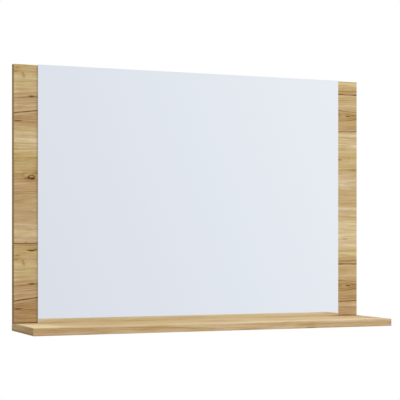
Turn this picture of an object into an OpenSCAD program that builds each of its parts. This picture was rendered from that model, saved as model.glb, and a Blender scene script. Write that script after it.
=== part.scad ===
// Wall mirror with a shelf.
//
// A wood-decor back board stands on a shelf of the same width. The glass is taped to the front of the
// board, from a little above its top edge down to the shelf. Screws and dowels come up through the shelf
// into the board's lower edge, and two keyhole plates, let into the back, hang the whole piece on wall
// screws.
//
// X runs along the mirror to the viewer's right, with 0 in the middle. The wall is the plane Y = 0, and
// the front faces -Y. Z = 0 is the height at which the heads of the wall screws enter the keyholes.

/* [Overall] */
// Width of the back board and of the shelf
overall_w = 820; // [660:10:1200]
// Height from the underside of the shelf to the top edge of the back board
overall_h = 560; // [400:10:900]
// Depth of the shelf, from the wall to its front edge
shelf_d = 170; // [100:5:250]

/* [Boards] */
// Thickness of the back board
back_t = 16; // [15:0.5:22]
// Thickness of the shelf board
shelf_t = 16; // [15:0.5:25]
// Thickness of the edging glued to the cut edges of both boards
edging_t = 2; // [0.4:0.1:3]
// Rounding along the outer corners of the edging
edging_r = 1.5; // [0.1:0.1:2]

/* [Mirror] */
// Width of bare board at each side of the glass
side_strip_w = 51.5; // [30:0.5:120]
// Gap between the glass and the shelf below it
glass_gap = 0.2; // [0.1:0.1:6]
// Height of the glass's top edge above that of the board; below 0, the glass ends lower
glass_rise = 0.7; // [-20:0.1:3]
// Thickness of the glass
glass_t = 3; // [3:0.5:6]
// Width of the ground flat along the glass's corners
glass_arris = 0.3; // [0.1:0.1:1.2]
// Thickness of the silver and its protective paint
coat_t = 0.2; // [0.1:0.05:0.4]

/* [Mounting tape] */
// Number of upright strips of foam tape behind the glass
tape_count = 6; // [3:1:8]
// Width of a strip
tape_w = 25; // [12:1:40]
// Thickness of a strip
tape_t = 0.8; // [0.5:0.1:2]
// Distance from the side edge of the glass to the first strip
tape_side_gap = 30; // [5:1:60]
// Distance from the upper and lower edges of the glass to the strips' ends
tape_end_gap = 25; // [5:1:60]

/* [Shelf screws] */
// Number of screws that come up through the shelf
screw_count = 5; // [3:1:7]
// Distance from the end of the shelf to the first screw
screw_inset = 50; // [30:5:120]
// Length of a screw, with its head
screw_len = 50; // [40:1:70]
// Diameter of the plain shoulder under the head
screw_shoulder_d = 7; // [6:0.5:8]
// Length of the head and the plain shoulder together
screw_shoulder_len = 12; // [8:0.5:14]
// Mean depth of the thread, taken off the shoulder's radius
screw_thread_cut = 0.4; // [0.2:0.1:0.8]
// Diameter of the flat head
screw_head_d = 10; // [9.5:0.5:12]
// Height of the head's straight rim, before its 45 degree cone
screw_head_rim = 1; // [0.5:0.1:2]
// Width across the flats of the six-sided socket
screw_socket_w = 4; // [3:0.5:5]
// Depth of the socket
screw_socket_depth = 3; // [2:0.5:4]
// Length of the blunt point
screw_point = 3; // [2:0.5:5]
// Play of a screw or dowel in its hole, on the diameter
hole_play = 0.1; // [0.05:0.05:0.4]
// Room in a hole past the end of its screw or dowel
hole_end_room = 1; // [0.5:0.5:2]

/* [Screw caps] */
// Diameter of the cap over a screw head
cap_d = 13; // [12.5:0.5:16]
// Thickness of the cap at its rim
cap_rim = 0.6; // [0.4:0.1:1.2]
// Height of the cap's dome above the rim
cap_dome = 1; // [0.4:0.1:2]
// Length of the six-sided peg that holds the cap in the socket
cap_peg_len = 1.8; // [1:0.1:1.8]
// Play of the peg in the socket, across the flats
cap_peg_play = 0.2; // [0.1:0.05:0.4]

/* [Dowels] */
// Diameter of the dowels between the screws
dowel_d = 8; // [6:0.5:10]
// Length of a dowel
dowel_len = 30; // [25:1:40]
// Depth to which a dowel stands in the shelf
dowel_in_shelf = 11; // [8:0.5:11]
// Number of flutes round a dowel
dowel_flutes = 16; // [10:1:20]
// Depth of a flute
dowel_flute_depth = 0.3; // [0.2:0.05:0.4]
// Chamfer at the ends of a dowel
dowel_chamfer = 1; // [0.5:0.1:1.5]

/* [Keyhole plates] */
// Distance from the side of the board to the middle of a keyhole
hanger_inset = 110; // [60:5:250]
// Distance from the top of the board down to the keyhole's round entry
hanger_drop = 60; // [40:5:150]
// Diameter of the round entry for the head of the wall screw
entry_d = 10; // [8:0.5:12]
// Width of the slot above the entry
slot_w = 5.2; // [4.6:0.1:6]
// Rise of the slot, from the middle of the entry to the middle of its round end
slot_rise = 12; // [9:0.5:16]
// Thickness of a plate
plate_t = 1.5; // [1.2:0.1:2.5]
// Metal above and below the keyhole
plate_margin = 6; // [4:0.5:10]
// Width of the plate's wing beside the deep pocket
plate_wing = 18; // [12:1:30]
// Rounding of the plate's corners
plate_corner = 5; // [3:0.5:6]
// Depth of the plate below the back of the board
plate_sink = 0.2; // [0.1:0.1:1]
// Play round the plate in its shallow pocket
plate_play = 0.5; // [0.2:0.1:1]
// Width of the deep pocket behind the keyhole
pocket_w = 16; // [14:0.5:20]
// Depth of the deep pocket, measured from the plate
pocket_depth = 8; // [6:0.5:10]

/* [Plate screws] */
// Length of a countersunk plate screw
fixing_len = 12; // [8:0.5:13]
// Diameter of its shank
fixing_d = 3.5; // [3:0.1:4]
// Diameter of its countersunk head
fixing_head_d = 6.4; // [5.6:0.1:7.4]
// Length of its point
fixing_point = 4; // [3:0.5:5]
// Span of the cross recess in the head
recess_span = 3.6; // [3:0.1:4.2]
// Width of an arm of the cross recess
recess_arm = 0.8; // [0.5:0.1:1]
// Depth of the cross recess
recess_depth = 1.2; // [0.8:0.1:1.5]

/* [Colours] */
// Printed oak on the faces of the boards
board_colour = "#BC9F72";
// Printed oak on the edging
edging_colour = "#B4945F";
// Silvered glass
glass_colour = "#DFE4EB";
// Protective paint behind the silver
coat_colour = "#6F7A78";
// Foam mounting tape
tape_colour = "#F0EFEA";
// Zinc-plated steel
steel_colour = "#C3C5C7";
// Plastic caps
cap_colour = "#C2A57C";
// Beech dowels
dowel_colour = "#D2AE7E";

/* [Hidden] */
$fn = 48;

// How far a cutter reaches past the face that it opens
over = 1;

// Heights
top_z = hanger_drop;
bottom_z = top_z - overall_h;
shelf_top_z = bottom_z + shelf_t;

// Back board without its edging
core_w = overall_w - 2 * edging_t;
core_h = overall_h - shelf_t - edging_t;
edging_round = min(edging_r, 0.8 * edging_t);

// Glass, with the planes that the layers behind it share
glass_w = overall_w - 2 * side_strip_w;
glass_h = overall_h - shelf_t - glass_gap + glass_rise;
glass_z = shelf_top_z + glass_gap;
tape_back_y = -back_t;
coat_back_y = tape_back_y - tape_t;
glass_back_y = coat_back_y - coat_t;

// Screws and dowels stand in the middle of the back board's thickness
joint_y = -back_t / 2;
screw_pitch = (overall_w - 2 * screw_inset) / (screw_count - 1);
dowel_count = screw_count - 1;
function screw_x(i) = -overall_w / 2 + screw_inset + (i - 1) * screw_pitch;
function dowel_x(i) = screw_x(i) + screw_pitch / 2;

// Foam strips are spread evenly between the outer two
tape_first_x = -glass_w / 2 + tape_side_gap;
tape_pitch = (glass_w - 2 * tape_side_gap - tape_w) / (tape_count - 1);
function tape_x(i) = tape_first_x + (i - 1) * tape_pitch;

// Keyhole plates: the plate's middle lies above the entry, and a screw holds each wing
hanger_x = overall_w / 2 - hanger_inset;
keyhole_low = -entry_d / 2;
keyhole_high = slot_rise + slot_w / 2;
plate_w = pocket_w + 2 * plate_wing;
plate_h = keyhole_high - keyhole_low + 2 * plate_margin;
plate_mid_z = (keyhole_high + keyhole_low) / 2;
plate_back_y = -plate_sink;
plate_front_y = plate_back_y - plate_t;
fixing_x = (pocket_w + plate_wing) / 2;

FIXED_NODES = [
    "back_board", "back_edging_top", "back_edging_left", "back_edging_right",
    "shelf_board", "shelf_edging_front", "shelf_edging_left", "shelf_edging_right",
    "mirror_glass", "mirror_coat",
    "keyhole_plate_left", "keyhole_plate_right",
    "plate_screw_1", "plate_screw_2", "plate_screw_3", "plate_screw_4"
];

// ---- Shapes that repeat ----

// A block from its lowest corner and its size.
module block(corner, size) {
    translate(corner) cube(size);
}

// Cross-section of the edging: its glued side lies along the y axis, from y = 0 to the board's thickness,
// and both corners of its outer side, towards -x, are rounded.
module edging_section(board_t) {
    r = edging_round;
    intersection() {
        translate([-edging_t, 0]) square([edging_t, board_t]);
        union() {
            translate([-edging_t, r]) square([edging_t, board_t - 2 * r]);
            translate([r - edging_t, 0]) square([edging_t - r, board_t]);
            for (y = [r, board_t - r]) translate([r - edging_t, y]) circle(r);
        }
    }
}

// A strip of edging for a left-hand end of a board, from its corner, rising along z.
module edging(board_t, length) {
    linear_extrude(length) edging_section(board_t);
}

// A rectangle with its four corners cut at 45 degrees, centred on the origin.
module cut_rectangle(w, h, cut) {
    x = w / 2;
    y = h / 2;
    polygon([
        [-x + cut, -y], [x - cut, -y], [x, -y + cut], [x, y - cut],
        [x - cut, y], [-x + cut, y], [-x, y - cut], [-x, -y + cut]
    ]);
}

// An upright slot with round ends, from the middle of its lower end at the origin.
module slot(w, rise) {
    union() {
        circle(w / 2);
        translate([-w / 2, 0]) square([w, rise]);
        translate([0, rise]) circle(w / 2);
    }
}

// A rectangle with round corners, centred on the origin.
module round_rectangle(w, h, r) {
    union() {
        square([w - 2 * r, h], center = true);
        square([w, h - 2 * r], center = true);
        for (x = [-1, 1], y = [-1, 1]) translate([x * (w / 2 - r), y * (h / 2 - r)]) circle(r);
    }
}

// Turns a flat shape, drawn with y up, to stand against the wall, and cuts it depth deep towards the
// front from the plane y = from_y.
module into_back(from_y, depth) {
    translate([0, from_y, 0]) rotate([90, 0, 0]) linear_extrude(depth) children();
}

// ---- Screws and dowels ----

// Half-section of a shelf screw, with the flat of its head at z = 0. play widens the straight parts, and
// leaves the cone where it is, so that a head still seats in a hole cut with play.
function shelf_screw_section(play, head_over, end_over) =
    let (
        e = play / 2,
        head_r = screw_head_d / 2,
        shoulder_r = screw_shoulder_d / 2,
        thread_r = shoulder_r - screw_thread_cut,
        cone = head_r - shoulder_r
    ) [
        [0, -head_over],
        [head_r + e, -head_over],
        [head_r + e, screw_head_rim - e],
        [shoulder_r + e, screw_head_rim + cone - e],
        [shoulder_r + e, screw_shoulder_len],
        [thread_r + e, screw_shoulder_len + screw_thread_cut],
        [thread_r + e, screw_len - (end_over > 0 ? -end_over : screw_point)],
        [end_over > 0 ? thread_r + e : thread_r / 2, screw_len + end_over],
        [0, screw_len + end_over]
    ];

module shelf_screw(i) {
    color(steel_colour) translate([screw_x(i), joint_y, bottom_z]) difference() {
        rotate_extrude() polygon(shelf_screw_section(0, 0, 0));
        translate([0, 0, -over])
            cylinder(d = screw_socket_w / cos(30), h = screw_socket_depth + over, $fn = 6);
    }
}

// The bores for every shelf screw, through the shelf and up into the back board.
module shelf_screw_bores() {
    for (i = [1:screw_count]) translate([screw_x(i), joint_y, bottom_z])
        rotate_extrude() polygon(shelf_screw_section(hole_play, over, hole_end_room));
}

// Outline of a dowel's end: a circle with flutes cut round it.
module fluted_circle() {
    difference() {
        circle(dowel_d / 2);
        for (k = [0:dowel_flutes - 1]) rotate(k * 360 / dowel_flutes)
            translate([dowel_d / 2, 0]) circle(dowel_flute_depth);
    }
}

module shelf_dowel(i) {
    r = dowel_d / 2;
    color(dowel_colour) translate([dowel_x(i), joint_y, shelf_top_z - dowel_in_shelf]) intersection() {
        linear_extrude(dowel_len) fluted_circle();
        rotate_extrude() polygon([
            [0, 0], [r - dowel_chamfer, 0], [r, dowel_chamfer],
            [r, dowel_len - dowel_chamfer], [r - dowel_chamfer, dowel_len], [0, dowel_len]
        ]);
    }
}

// The blind bores for every dowel, down into the shelf and up into the back board.
module dowel_bores() {
    for (i = [1:dowel_count])
        translate([dowel_x(i), joint_y, shelf_top_z - dowel_in_shelf - hole_end_room])
            cylinder(d = dowel_d + hole_play, h = dowel_len + 2 * hole_end_room);
}

// A domed cap: its flat side lies against the underside of the shelf, and its peg stands in the socket.
module screw_cap(i) {
    r = cap_d / 2;
    dome_r = (r * r + cap_dome * cap_dome) / (2 * cap_dome);
    peg_w = screw_socket_w - cap_peg_play;
    color(cap_colour) translate([screw_x(i), joint_y, bottom_z]) union() {
        intersection() {
            translate([0, 0, -cap_rim - cap_dome]) cylinder(r = r, h = cap_rim + cap_dome);
            translate([0, 0, dome_r - cap_rim - cap_dome]) sphere(dome_r, $fn = 96);
        }
        translate([0, 0, -cap_rim]) cylinder(d = peg_w / cos(30), h = cap_peg_len + cap_rim, $fn = 6);
    }
}

// Half-section of a plate screw that points along +z, with the flat of its head at z = 0.
function fixing_section(play, head_over, end_over) =
    let (
        e = play / 2,
        head_r = fixing_head_d / 2,
        shank_r = fixing_d / 2,
        cone = head_r - shank_r
    ) [
        [0, -head_over],
        [head_r + (head_over > 0 ? e : 0), -head_over],
        [head_r + (head_over > 0 ? e : 0), head_over > 0 ? -e : 0],
        [shank_r + e, cone - e],
        [shank_r + e, end_over > 0 ? fixing_len : fixing_len - fixing_point],
        [end_over > 0 ? shank_r + e : shank_r / 4, fixing_len + end_over],
        [0, fixing_len + end_over]
    ];

// Stands a screw that points along +z in a wing of a plate: side is the plate's, wing the wing's.
module at_fixing(side, wing) {
    translate([side * hanger_x + wing * fixing_x, plate_back_y, plate_mid_z])
        rotate([90, 0, 0]) children();
}

module plate_screw(side, wing) {
    color(steel_colour) at_fixing(side, wing) difference() {
        rotate_extrude() polygon(fixing_section(0, 0, 0));
        for (turn = [0, 90]) rotate(turn)
            translate([-recess_span / 2, -recess_arm / 2, -over])
                cube([recess_span, recess_arm, recess_depth + over]);
    }
}

module fixing_bores() {
    for (side = [-1, 1], wing = [-1, 1])
        at_fixing(side, wing) rotate_extrude() polygon(fixing_section(hole_play, over, hole_end_room));
}

// ---- Boards ----

// The two routed pockets in the back: a shallow one that takes the plate flush, and a deep one behind the
// keyhole, where the head of the wall screw has room to rise.
module hanger_pockets() {
    for (side = [-1, 1]) translate([side * hanger_x, 0, 0]) {
        into_back(over, over - plate_front_y) translate([0, plate_mid_z])
            round_rectangle(plate_w + 2 * plate_play, plate_h + 2 * plate_play, plate_corner + plate_play);
        into_back(over, over - plate_front_y + pocket_depth) slot(pocket_w, slot_rise);
    }
}

module back_board() {
    color(board_colour) difference() {
        block([-core_w / 2, -back_t, shelf_top_z], [core_w, back_t, core_h]);
        shelf_screw_bores();
        dowel_bores();
        hanger_pockets();
        fixing_bores();
    }
}

module back_edging_left() {
    color(edging_colour) translate([-core_w / 2, -back_t, shelf_top_z]) edging(back_t, core_h);
}

module back_edging_right() {
    mirror([1, 0, 0]) back_edging_left();
}

// The upper edging runs over the ends of the side edgings, along the board's full width.
module back_edging_top() {
    color(edging_colour) translate([-overall_w / 2, -back_t, top_z - edging_t])
        rotate([0, 90, 0]) edging(back_t, overall_w);
}

module shelf_board() {
    color(board_colour) difference() {
        block([-core_w / 2, edging_t - shelf_d, bottom_z], [core_w, shelf_d - edging_t, shelf_t]);
        shelf_screw_bores();
        dowel_bores();
    }
}

module shelf_edging_left() {
    color(edging_colour) translate([-core_w / 2, 0, bottom_z])
        rotate([90, 0, 0]) edging(shelf_t, shelf_d - edging_t);
}

module shelf_edging_right() {
    mirror([1, 0, 0]) shelf_edging_left();
}

// The front edging runs over the ends of the end edgings, along the shelf's full width.
module shelf_edging_front() {
    color(edging_colour) translate([-overall_w / 2, edging_t - shelf_d, bottom_z])
        rotate([90, 0, 90]) edging(shelf_t, overall_w);
}

// ---- Mirror ----

// A sheet whose twelve corners are all ground to a narrow flat, standing on the height glass_z.
module mirror_glass() {
    color(glass_colour) translate([0, glass_back_y - glass_t / 2, glass_z]) intersection() {
        linear_extrude(glass_h) cut_rectangle(glass_w, glass_t, glass_arris);
        translate([-glass_w / 2, 0, glass_h / 2]) rotate([90, 0, 90]) linear_extrude(glass_w)
            cut_rectangle(glass_t, glass_h, glass_arris);
    }
}

// The silver and its paint cover the flat back of the glass, inside the ground corners.
module mirror_coat() {
    color(coat_colour)
        block([glass_arris - glass_w / 2, glass_back_y, glass_z + glass_arris],
              [glass_w - 2 * glass_arris, coat_t, glass_h - 2 * glass_arris]);
}

module mirror_tape(i) {
    color(tape_colour)
        block([tape_x(i), coat_back_y, glass_z + tape_end_gap],
              [tape_w, tape_t, glass_h - 2 * tape_end_gap]);
}

// ---- Keyhole plates ----

module keyhole() {
    union() {
        circle(entry_d / 2);
        slot(slot_w, slot_rise);
    }
}

module keyhole_plate(side) {
    color(steel_colour) difference() {
        translate([side * hanger_x, 0, 0]) into_back(plate_back_y, plate_t) difference() {
            translate([0, plate_mid_z]) round_rectangle(plate_w, plate_h, plate_corner);
            keyhole();
        }
        fixing_bores();
    }
}

back_board();
back_edging_top();
back_edging_left();
back_edging_right();
shelf_board();
shelf_edging_front();
shelf_edging_left();
shelf_edging_right();
mirror_glass();
mirror_coat();
for (i = [1:tape_count])
    mirror_tape(i);
for (i = [1:screw_count])
    shelf_screw(i);
for (i = [1:screw_count])
    screw_cap(i);
for (i = [1:dowel_count])
    shelf_dowel(i);
keyhole_plate(-1);  // keyhole_plate_left
keyhole_plate(1);  // keyhole_plate_right
plate_screw(-1, -1);  // plate_screw_1
plate_screw(-1, 1);  // plate_screw_2
plate_screw(1, -1);  // plate_screw_3
plate_screw(1, 1);  // plate_screw_4
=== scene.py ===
"""Dresses the mirror and its shelf: printed oak, silvered glass, zinc-plated fittings, light and camera.

Lengths that describe the object are in metres, in the frame's own axes: X runs along the mirror to the
viewer's right, the wall is the plane Y = 0 and the front faces -Y. The printed wood is described in
millimetres, measured down from the top edge of the back board.
"""

from collections import namedtuple
from math import pi, radians

import bpy
import numpy as np
from bpy.props import FloatProperty, FloatVectorProperty, IntProperty, PointerProperty
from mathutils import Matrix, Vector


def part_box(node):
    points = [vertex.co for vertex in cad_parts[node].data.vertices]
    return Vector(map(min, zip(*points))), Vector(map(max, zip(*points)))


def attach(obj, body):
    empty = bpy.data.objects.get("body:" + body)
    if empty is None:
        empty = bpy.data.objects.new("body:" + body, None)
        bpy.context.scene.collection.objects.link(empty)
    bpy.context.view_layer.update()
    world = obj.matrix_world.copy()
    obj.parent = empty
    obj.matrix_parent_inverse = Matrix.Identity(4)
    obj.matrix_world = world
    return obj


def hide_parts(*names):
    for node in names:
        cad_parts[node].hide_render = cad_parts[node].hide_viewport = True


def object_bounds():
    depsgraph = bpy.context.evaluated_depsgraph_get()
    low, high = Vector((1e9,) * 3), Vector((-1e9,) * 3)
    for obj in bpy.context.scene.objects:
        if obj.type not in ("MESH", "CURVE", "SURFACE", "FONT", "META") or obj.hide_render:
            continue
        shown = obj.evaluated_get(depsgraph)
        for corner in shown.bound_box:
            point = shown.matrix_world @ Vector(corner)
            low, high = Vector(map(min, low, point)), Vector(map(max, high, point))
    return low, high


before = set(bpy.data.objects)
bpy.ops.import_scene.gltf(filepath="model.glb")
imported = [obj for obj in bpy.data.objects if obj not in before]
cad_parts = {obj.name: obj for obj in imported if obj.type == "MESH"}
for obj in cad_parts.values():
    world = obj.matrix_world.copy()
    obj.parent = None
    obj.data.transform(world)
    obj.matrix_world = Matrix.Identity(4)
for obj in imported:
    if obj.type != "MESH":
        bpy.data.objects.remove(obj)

bl_info = {
    "name": "Mirror with shelf",
    "version": (1, 0, 0),
    "blender": (4, 5, 0),
    "location": "3D View > Sidebar > Mirror",
    "description": "Finishes, small fasteners, light and camera for a wall mirror with a shelf",
    "category": "Object",
}

CAD_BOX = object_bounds()
MM = 1000
BOARD_LOW, BOARD_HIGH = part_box("back_board")
SHELF_LOW, SHELF_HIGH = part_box("shelf_board")
BOARD_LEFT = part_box("back_edging_left")[0].x * MM
BOARD_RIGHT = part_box("back_edging_right")[1].x * MM
BOARD_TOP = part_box("back_edging_top")[1].z * MM
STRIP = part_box("mirror_glass")[0].x * MM - BOARD_LEFT
SHELF_TOP = SHELF_HIGH.z * MM


def paint(code):
    """A colour written as six hexadecimal digits of sRGB, as the linear numbers that Blender works in."""
    parts = [int(code[i:i + 2], 16) / 255 for i in (0, 2, 4)]
    return tuple(c / 12.92 if c <= 0.04045 else ((c + 0.055) / 1.055) ** 2.4 for c in parts)


def opaque(colour):
    """A colour of three numbers as the four that a socket takes."""
    return (*colour, 1.0)


def shaded(colour, share):
    """A colour made darker or brighter by a share of its strength."""
    return tuple(min(1, share * c) for c in colour)


# ---- Settings that a user would change ----


def colour_setting(name, description, default):
    """A colour that a user can change."""
    return FloatVectorProperty(
        name=name, description=description, subtype="COLOR", size=3, min=0, max=1, default=default)


def length_setting(name, description, default, least, most):
    """A length that a user can change, in metres."""
    return FloatProperty(
        name=name, description=description, subtype="DISTANCE", unit="LENGTH", precision=5,
        min=least, max=most, default=default)


class OakSettings(bpy.types.PropertyGroup):
    dark: colour_setting("Knots", "Cracks and the hearts of knots", paint("523420"))
    brown: colour_setting("Heartwood", "Brown zones and the sides of dark lines", paint("9A774D"))
    golden: colour_setting("Golden wood", "The wood's middle tone", paint("B3976A"))
    light: colour_setting("Light wood", "Light bands of the grain", paint("C2AC84"))
    cream: colour_setting("Sapwood", "The palest wood", paint("D8C7A4"))
    roughness: FloatProperty(
        name="Roughness", description="Roughness of the printed surface", min=0.2, max=1, default=0.66)
    relief: length_setting(
        "Relief", "Depth of the pores pressed into the surface", 0.00006, 0, 0.0005)


class GlassSettings(bpy.types.PropertyGroup):
    silver: colour_setting(
        "Reflection", "How much of each colour the mirror gives back", (0.90, 0.885, 0.83))
    edge: colour_setting("Edge", "Colour of the ground edges", paint("E6EDEE"))
    # Painted glow: emission that brightens the ground edges, though they are no lamp.
    painted_glow: FloatProperty(
        name="Glow", description="Light that the ground edges let out", min=0, max=1, default=0.26)
    paint: colour_setting("Back paint", "Protective paint behind the silver", paint("6F7A78"))


class FittingSettings(bpy.types.PropertyGroup):
    zinc: colour_setting("Zinc", "Colour of the plated steel", paint("C9CCCF"))
    cap: colour_setting("Caps", "Colour of the plastic caps", paint("C2A57C"))
    foam: colour_setting("Foam", "Colour of the mounting tape", paint("EFEEE8"))
    columns: IntProperty(
        name="Columns", description="Faces round a screw", min=24, max=144, default=72)
    shelf_screw_pitch: length_setting(
        "Shelf screw pitch", "Rise of the shelf screws' thread in one turn", 0.0031, 0.001, 0.006)
    plate_screw_pitch: length_setting(
        "Plate screw pitch", "Rise of the plate screws' thread in one turn", 0.0014, 0.0005, 0.003)


class StageSettings(bpy.types.PropertyGroup):
    camera_place: FloatVectorProperty(
        name="Camera", description="Where the camera stands", subtype="TRANSLATION", unit="LENGTH",
        size=3, default=(-1.0892, -2.6479, -0.3093))
    camera_turn: FloatProperty(
        name="Turn", description="Angle between the camera's view and the wall's normal",
        subtype="ANGLE", unit="ROTATION", default=0.3964)
    lens: FloatProperty(
        name="Lens", description="Focal length for a sensor 36 mm wide", unit="CAMERA", default=115.74)
    shift: FloatProperty(
        name="Shift", description="How far the level camera's picture is moved up, in widths", default=0.1006)
    floor_drop: length_setting("Floor", "Distance from the shelf down to the floor", 2.4, 0.1, 10)
    floor_radius: length_setting("Floor radius", "Radius of the round floor", 4.5, 0.5, 20)
    ambient: FloatProperty(
        name="Ambient", description="Strength of the light from all round", min=0, default=0.76)
    softbox: FloatProperty(
        name="Softbox", description="Power of the large soft light", unit="POWER", min=0, default=34)


class MirrorShelfSettings(bpy.types.PropertyGroup):
    oak: PointerProperty(type=OakSettings)
    glass: PointerProperty(type=GlassSettings)
    fittings: PointerProperty(type=FittingSettings)
    stage: PointerProperty(type=StageSettings)


# ---- Node trees written as expressions ----


def between(a, b, share):
    """Number a where share is 0 and number b where it is 1."""
    return a + (b - a) * share


class Signal:
    """A socket that carries a number. Arithmetic on it adds Math nodes to its tree."""

    def __init__(self, tree, socket):
        self.tree = tree
        self.socket = socket

    def __add__(self, other):
        return self.tree.math("ADD", self, other)

    def __radd__(self, other):
        return self.tree.math("ADD", other, self)

    def __sub__(self, other):
        return self.tree.math("SUBTRACT", self, other)

    def __rsub__(self, other):
        return self.tree.math("SUBTRACT", other, self)

    def __mul__(self, other):
        return self.tree.math("MULTIPLY", self, other)

    def __rmul__(self, other):
        return self.tree.math("MULTIPLY", other, self)

    def __truediv__(self, other):
        return self.tree.math("DIVIDE", self, other)

    def __neg__(self):
        return self.tree.math("MULTIPLY", self, -1)

    def __abs__(self):
        return self.tree.math("ABSOLUTE", self)

    def fade(self, start, end):
        """0 at start, 1 at end and a smooth rise between; start may be the larger."""
        node = self.tree.add(
            "ShaderNodeMapRange", {"interpolation_type": "SMOOTHSTEP"},
            {"Value": self, "From Min": start, "From Max": end})
        return Signal(self.tree, node.outputs[0])


# A bell reaches 0 this many of its half widths from its middle.
BELL_REACH = 1.8


class Tree:
    """The nodes of a material or a world, and the one way by which nodes are added to them."""

    def __init__(self, owner):
        owner.use_nodes = True
        self.nodes = owner.node_tree.nodes
        self.links = owner.node_tree.links
        self.nodes.clear()

    def add(self, kind, settings=None, sockets=None):
        """Adds a node, sets its settings or a ramp's stops, and then fills or links its sockets."""
        node = self.nodes.new(kind)
        for name, value in (settings or {}).items():
            if name == "stops":
                self.set_stops(node.color_ramp.elements, value)
            else:
                setattr(node, name, value)
        for name, value in (sockets or {}).items():
            if isinstance(value, Signal):
                value = value.socket
            if isinstance(value, bpy.types.NodeSocket):
                self.links.new(value, node.inputs[name])
            else:
                node.inputs[name].default_value = value
        return node

    @staticmethod
    def set_stops(elements, stops):
        while len(elements) < len(stops):
            elements.new(1)
        for element, (position, colour) in zip(elements, stops):
            element.position = position
            element.color = opaque(colour)

    def math(self, operation, *values):
        node = self.add("ShaderNodeMath", {"operation": operation}, dict(enumerate(values)))
        return Signal(self, node.outputs[0])

    def smallest(self, a, b):
        return self.math("MINIMUM", a, b)

    def largest(self, a, b):
        return self.math("MAXIMUM", a, b)

    def bell(self, offset, half):
        """1 where offset is 0, falling in a smooth curve to two fifths at half and to 0 at its reach."""
        return abs(offset).fade(BELL_REACH * half, 0)

    def vector(self, u, v, w=0.0):
        return self.add("ShaderNodeCombineXYZ", None, {0: u, 1: v, 2: w}).outputs[0]

    def vector_math(self, operation, *values):
        return self.add("ShaderNodeVectorMath", {"operation": operation}, dict(enumerate(values))).outputs

    def dot(self, a, b):
        return Signal(self, self.vector_math("DOT_PRODUCT", a, b)[1])

    def far(self, place, middle, size):
        """Elliptical distance of a place from a middle: 1 where it is one size away."""
        scale = [1 / s for s in size]
        start = [-m / s for m, s in zip(middle, size)]
        offset = self.vector_math("MULTIPLY_ADD", place, (*scale, 0), (*start, 0))[0]
        return Signal(self, self.vector_math("LENGTH", offset)[1])

    def noise(self, u, v, detail=2.0, roughness=0.5, w=0.0):
        """Fractal noise from 0 to 1, whose grains are about one unit across."""
        place = self.vector(u, v, w)
        node = self.add(
            "ShaderNodeTexNoise", {"noise_dimensions": "3D"},
            {"Vector": place, "Scale": 1.0, "Detail": detail, "Roughness": roughness})
        return Signal(self, node.outputs[0])

    def cells(self, u, v, w):
        """Distance from the middle of the nearest cell, and a number of its own for each cell."""
        node = self.add("ShaderNodeTexVoronoi", None, {"Vector": self.vector(u, v, w), "Scale": 1.0})
        tint = self.add("ShaderNodeSeparateColor", None, {0: node.outputs["Color"]}).outputs[0]
        return Signal(self, node.outputs["Distance"]), Signal(self, tint)

    def ramp(self, value, stops):
        return self.add("ShaderNodeValToRGB", {"stops": stops}, {0: value}).outputs[0]

    def mix(self, factor, a, b, blend="MIX"):
        """Colour a where factor is 0 and colour b where it is 1."""
        a, b = (c if isinstance(c, bpy.types.NodeSocket) else opaque(c) for c in (a, b))
        settings = {"data_type": "RGBA", "blend_type": blend}
        return self.add("ShaderNodeMix", settings, {0: factor, 6: a, 7: b}).outputs[2]

    def point(self):
        """The point being shaded, as three numbers in millimetres along the frame's axes."""
        place = self.add("ShaderNodeTexCoord").outputs["Object"]
        split = self.add("ShaderNodeSeparateXYZ", None, {0: place})
        return [Signal(self, socket) * MM for socket in split.outputs]

    def facing(self):
        """How much the surface faces each of the three axes, from 0 to 1."""
        normal = self.add("ShaderNodeNewGeometry").outputs["Normal"]
        split = self.add("ShaderNodeSeparateXYZ", None, {0: normal})
        return [abs(Signal(self, socket)) for socket in split.outputs]

    def relief(self, height, depth):
        """A normal for a surface whose height of 0 to 1 stands for depth in metres."""
        return self.add("ShaderNodeBump", None, {"Height": height, "Distance": depth}).outputs[0]

    def surface(self, **sockets):
        """Ends a material with one principled surface; an underscore in a name stands for a space."""
        named = {name.replace("_", " "): value for name, value in sockets.items()}
        shader = self.add("ShaderNodeBsdfPrincipled", None, named)
        self.add("ShaderNodeOutputMaterial", None, {"Surface": shader.outputs[0]})

    def background(self, colour, strength=1.0):
        return self.add("ShaderNodeBackground", None, {"Color": colour, "Strength": strength}).outputs[0]

    def either(self, factor, a, b):
        """Shader a where factor is 0 and shader b where it is 1."""
        return self.add("ShaderNodeMixShader", None, {0: factor, 1: a, 2: b}).outputs[0]


def new_material(name, colour):
    """A material with an empty tree; the colour is the one that it has in the viewport."""
    material = bpy.data.materials.new(name)
    material.diffuse_color = opaque(colour)
    return material, Tree(material)


def dress(material, *names):
    """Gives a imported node, or several, one material in place of the plain one it came with."""
    for name in names:
        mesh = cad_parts[name].data
        mesh.materials.clear()
        mesh.materials.append(material)


def nodes_named(start):
    """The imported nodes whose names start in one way, in order."""
    return sorted(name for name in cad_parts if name.startswith(start))


# ---- The printed oak ----

# What the print shows, in millimetres. On the strips beside the glass, heights run down from the top edge of
# the board, and distances across run from the strip's left edge. A tone of 1 is the whole way from a crack
# to pale sapwood, a yellow of 1 is clearly golden and of -1 slightly pink, and a slant is how much higher
# the grain lies at the strip's right edge than at its left. A line runs from its height at the left edge to
# its height at the right. Length and half are half the length and half the width of a mark, depth is how
# much darker it is, or paler below 0, and heart is how much paler the middle of a knot is. A bend pushes the
# grain away from its middle.
Band = namedtuple("Band", "height tone yellow slant", defaults=(0,))
Line = namedtuple("Line", "left right half depth")
Dash = namedtuple("Dash", "across height length half depth")
Knot = namedtuple("Knot", "across height length half depth heart")
Bend = namedtuple("Bend", "across height length half push")
Print = namedtuple("Print", "bands lines dashes knots bends", defaults=((), ()))
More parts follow.
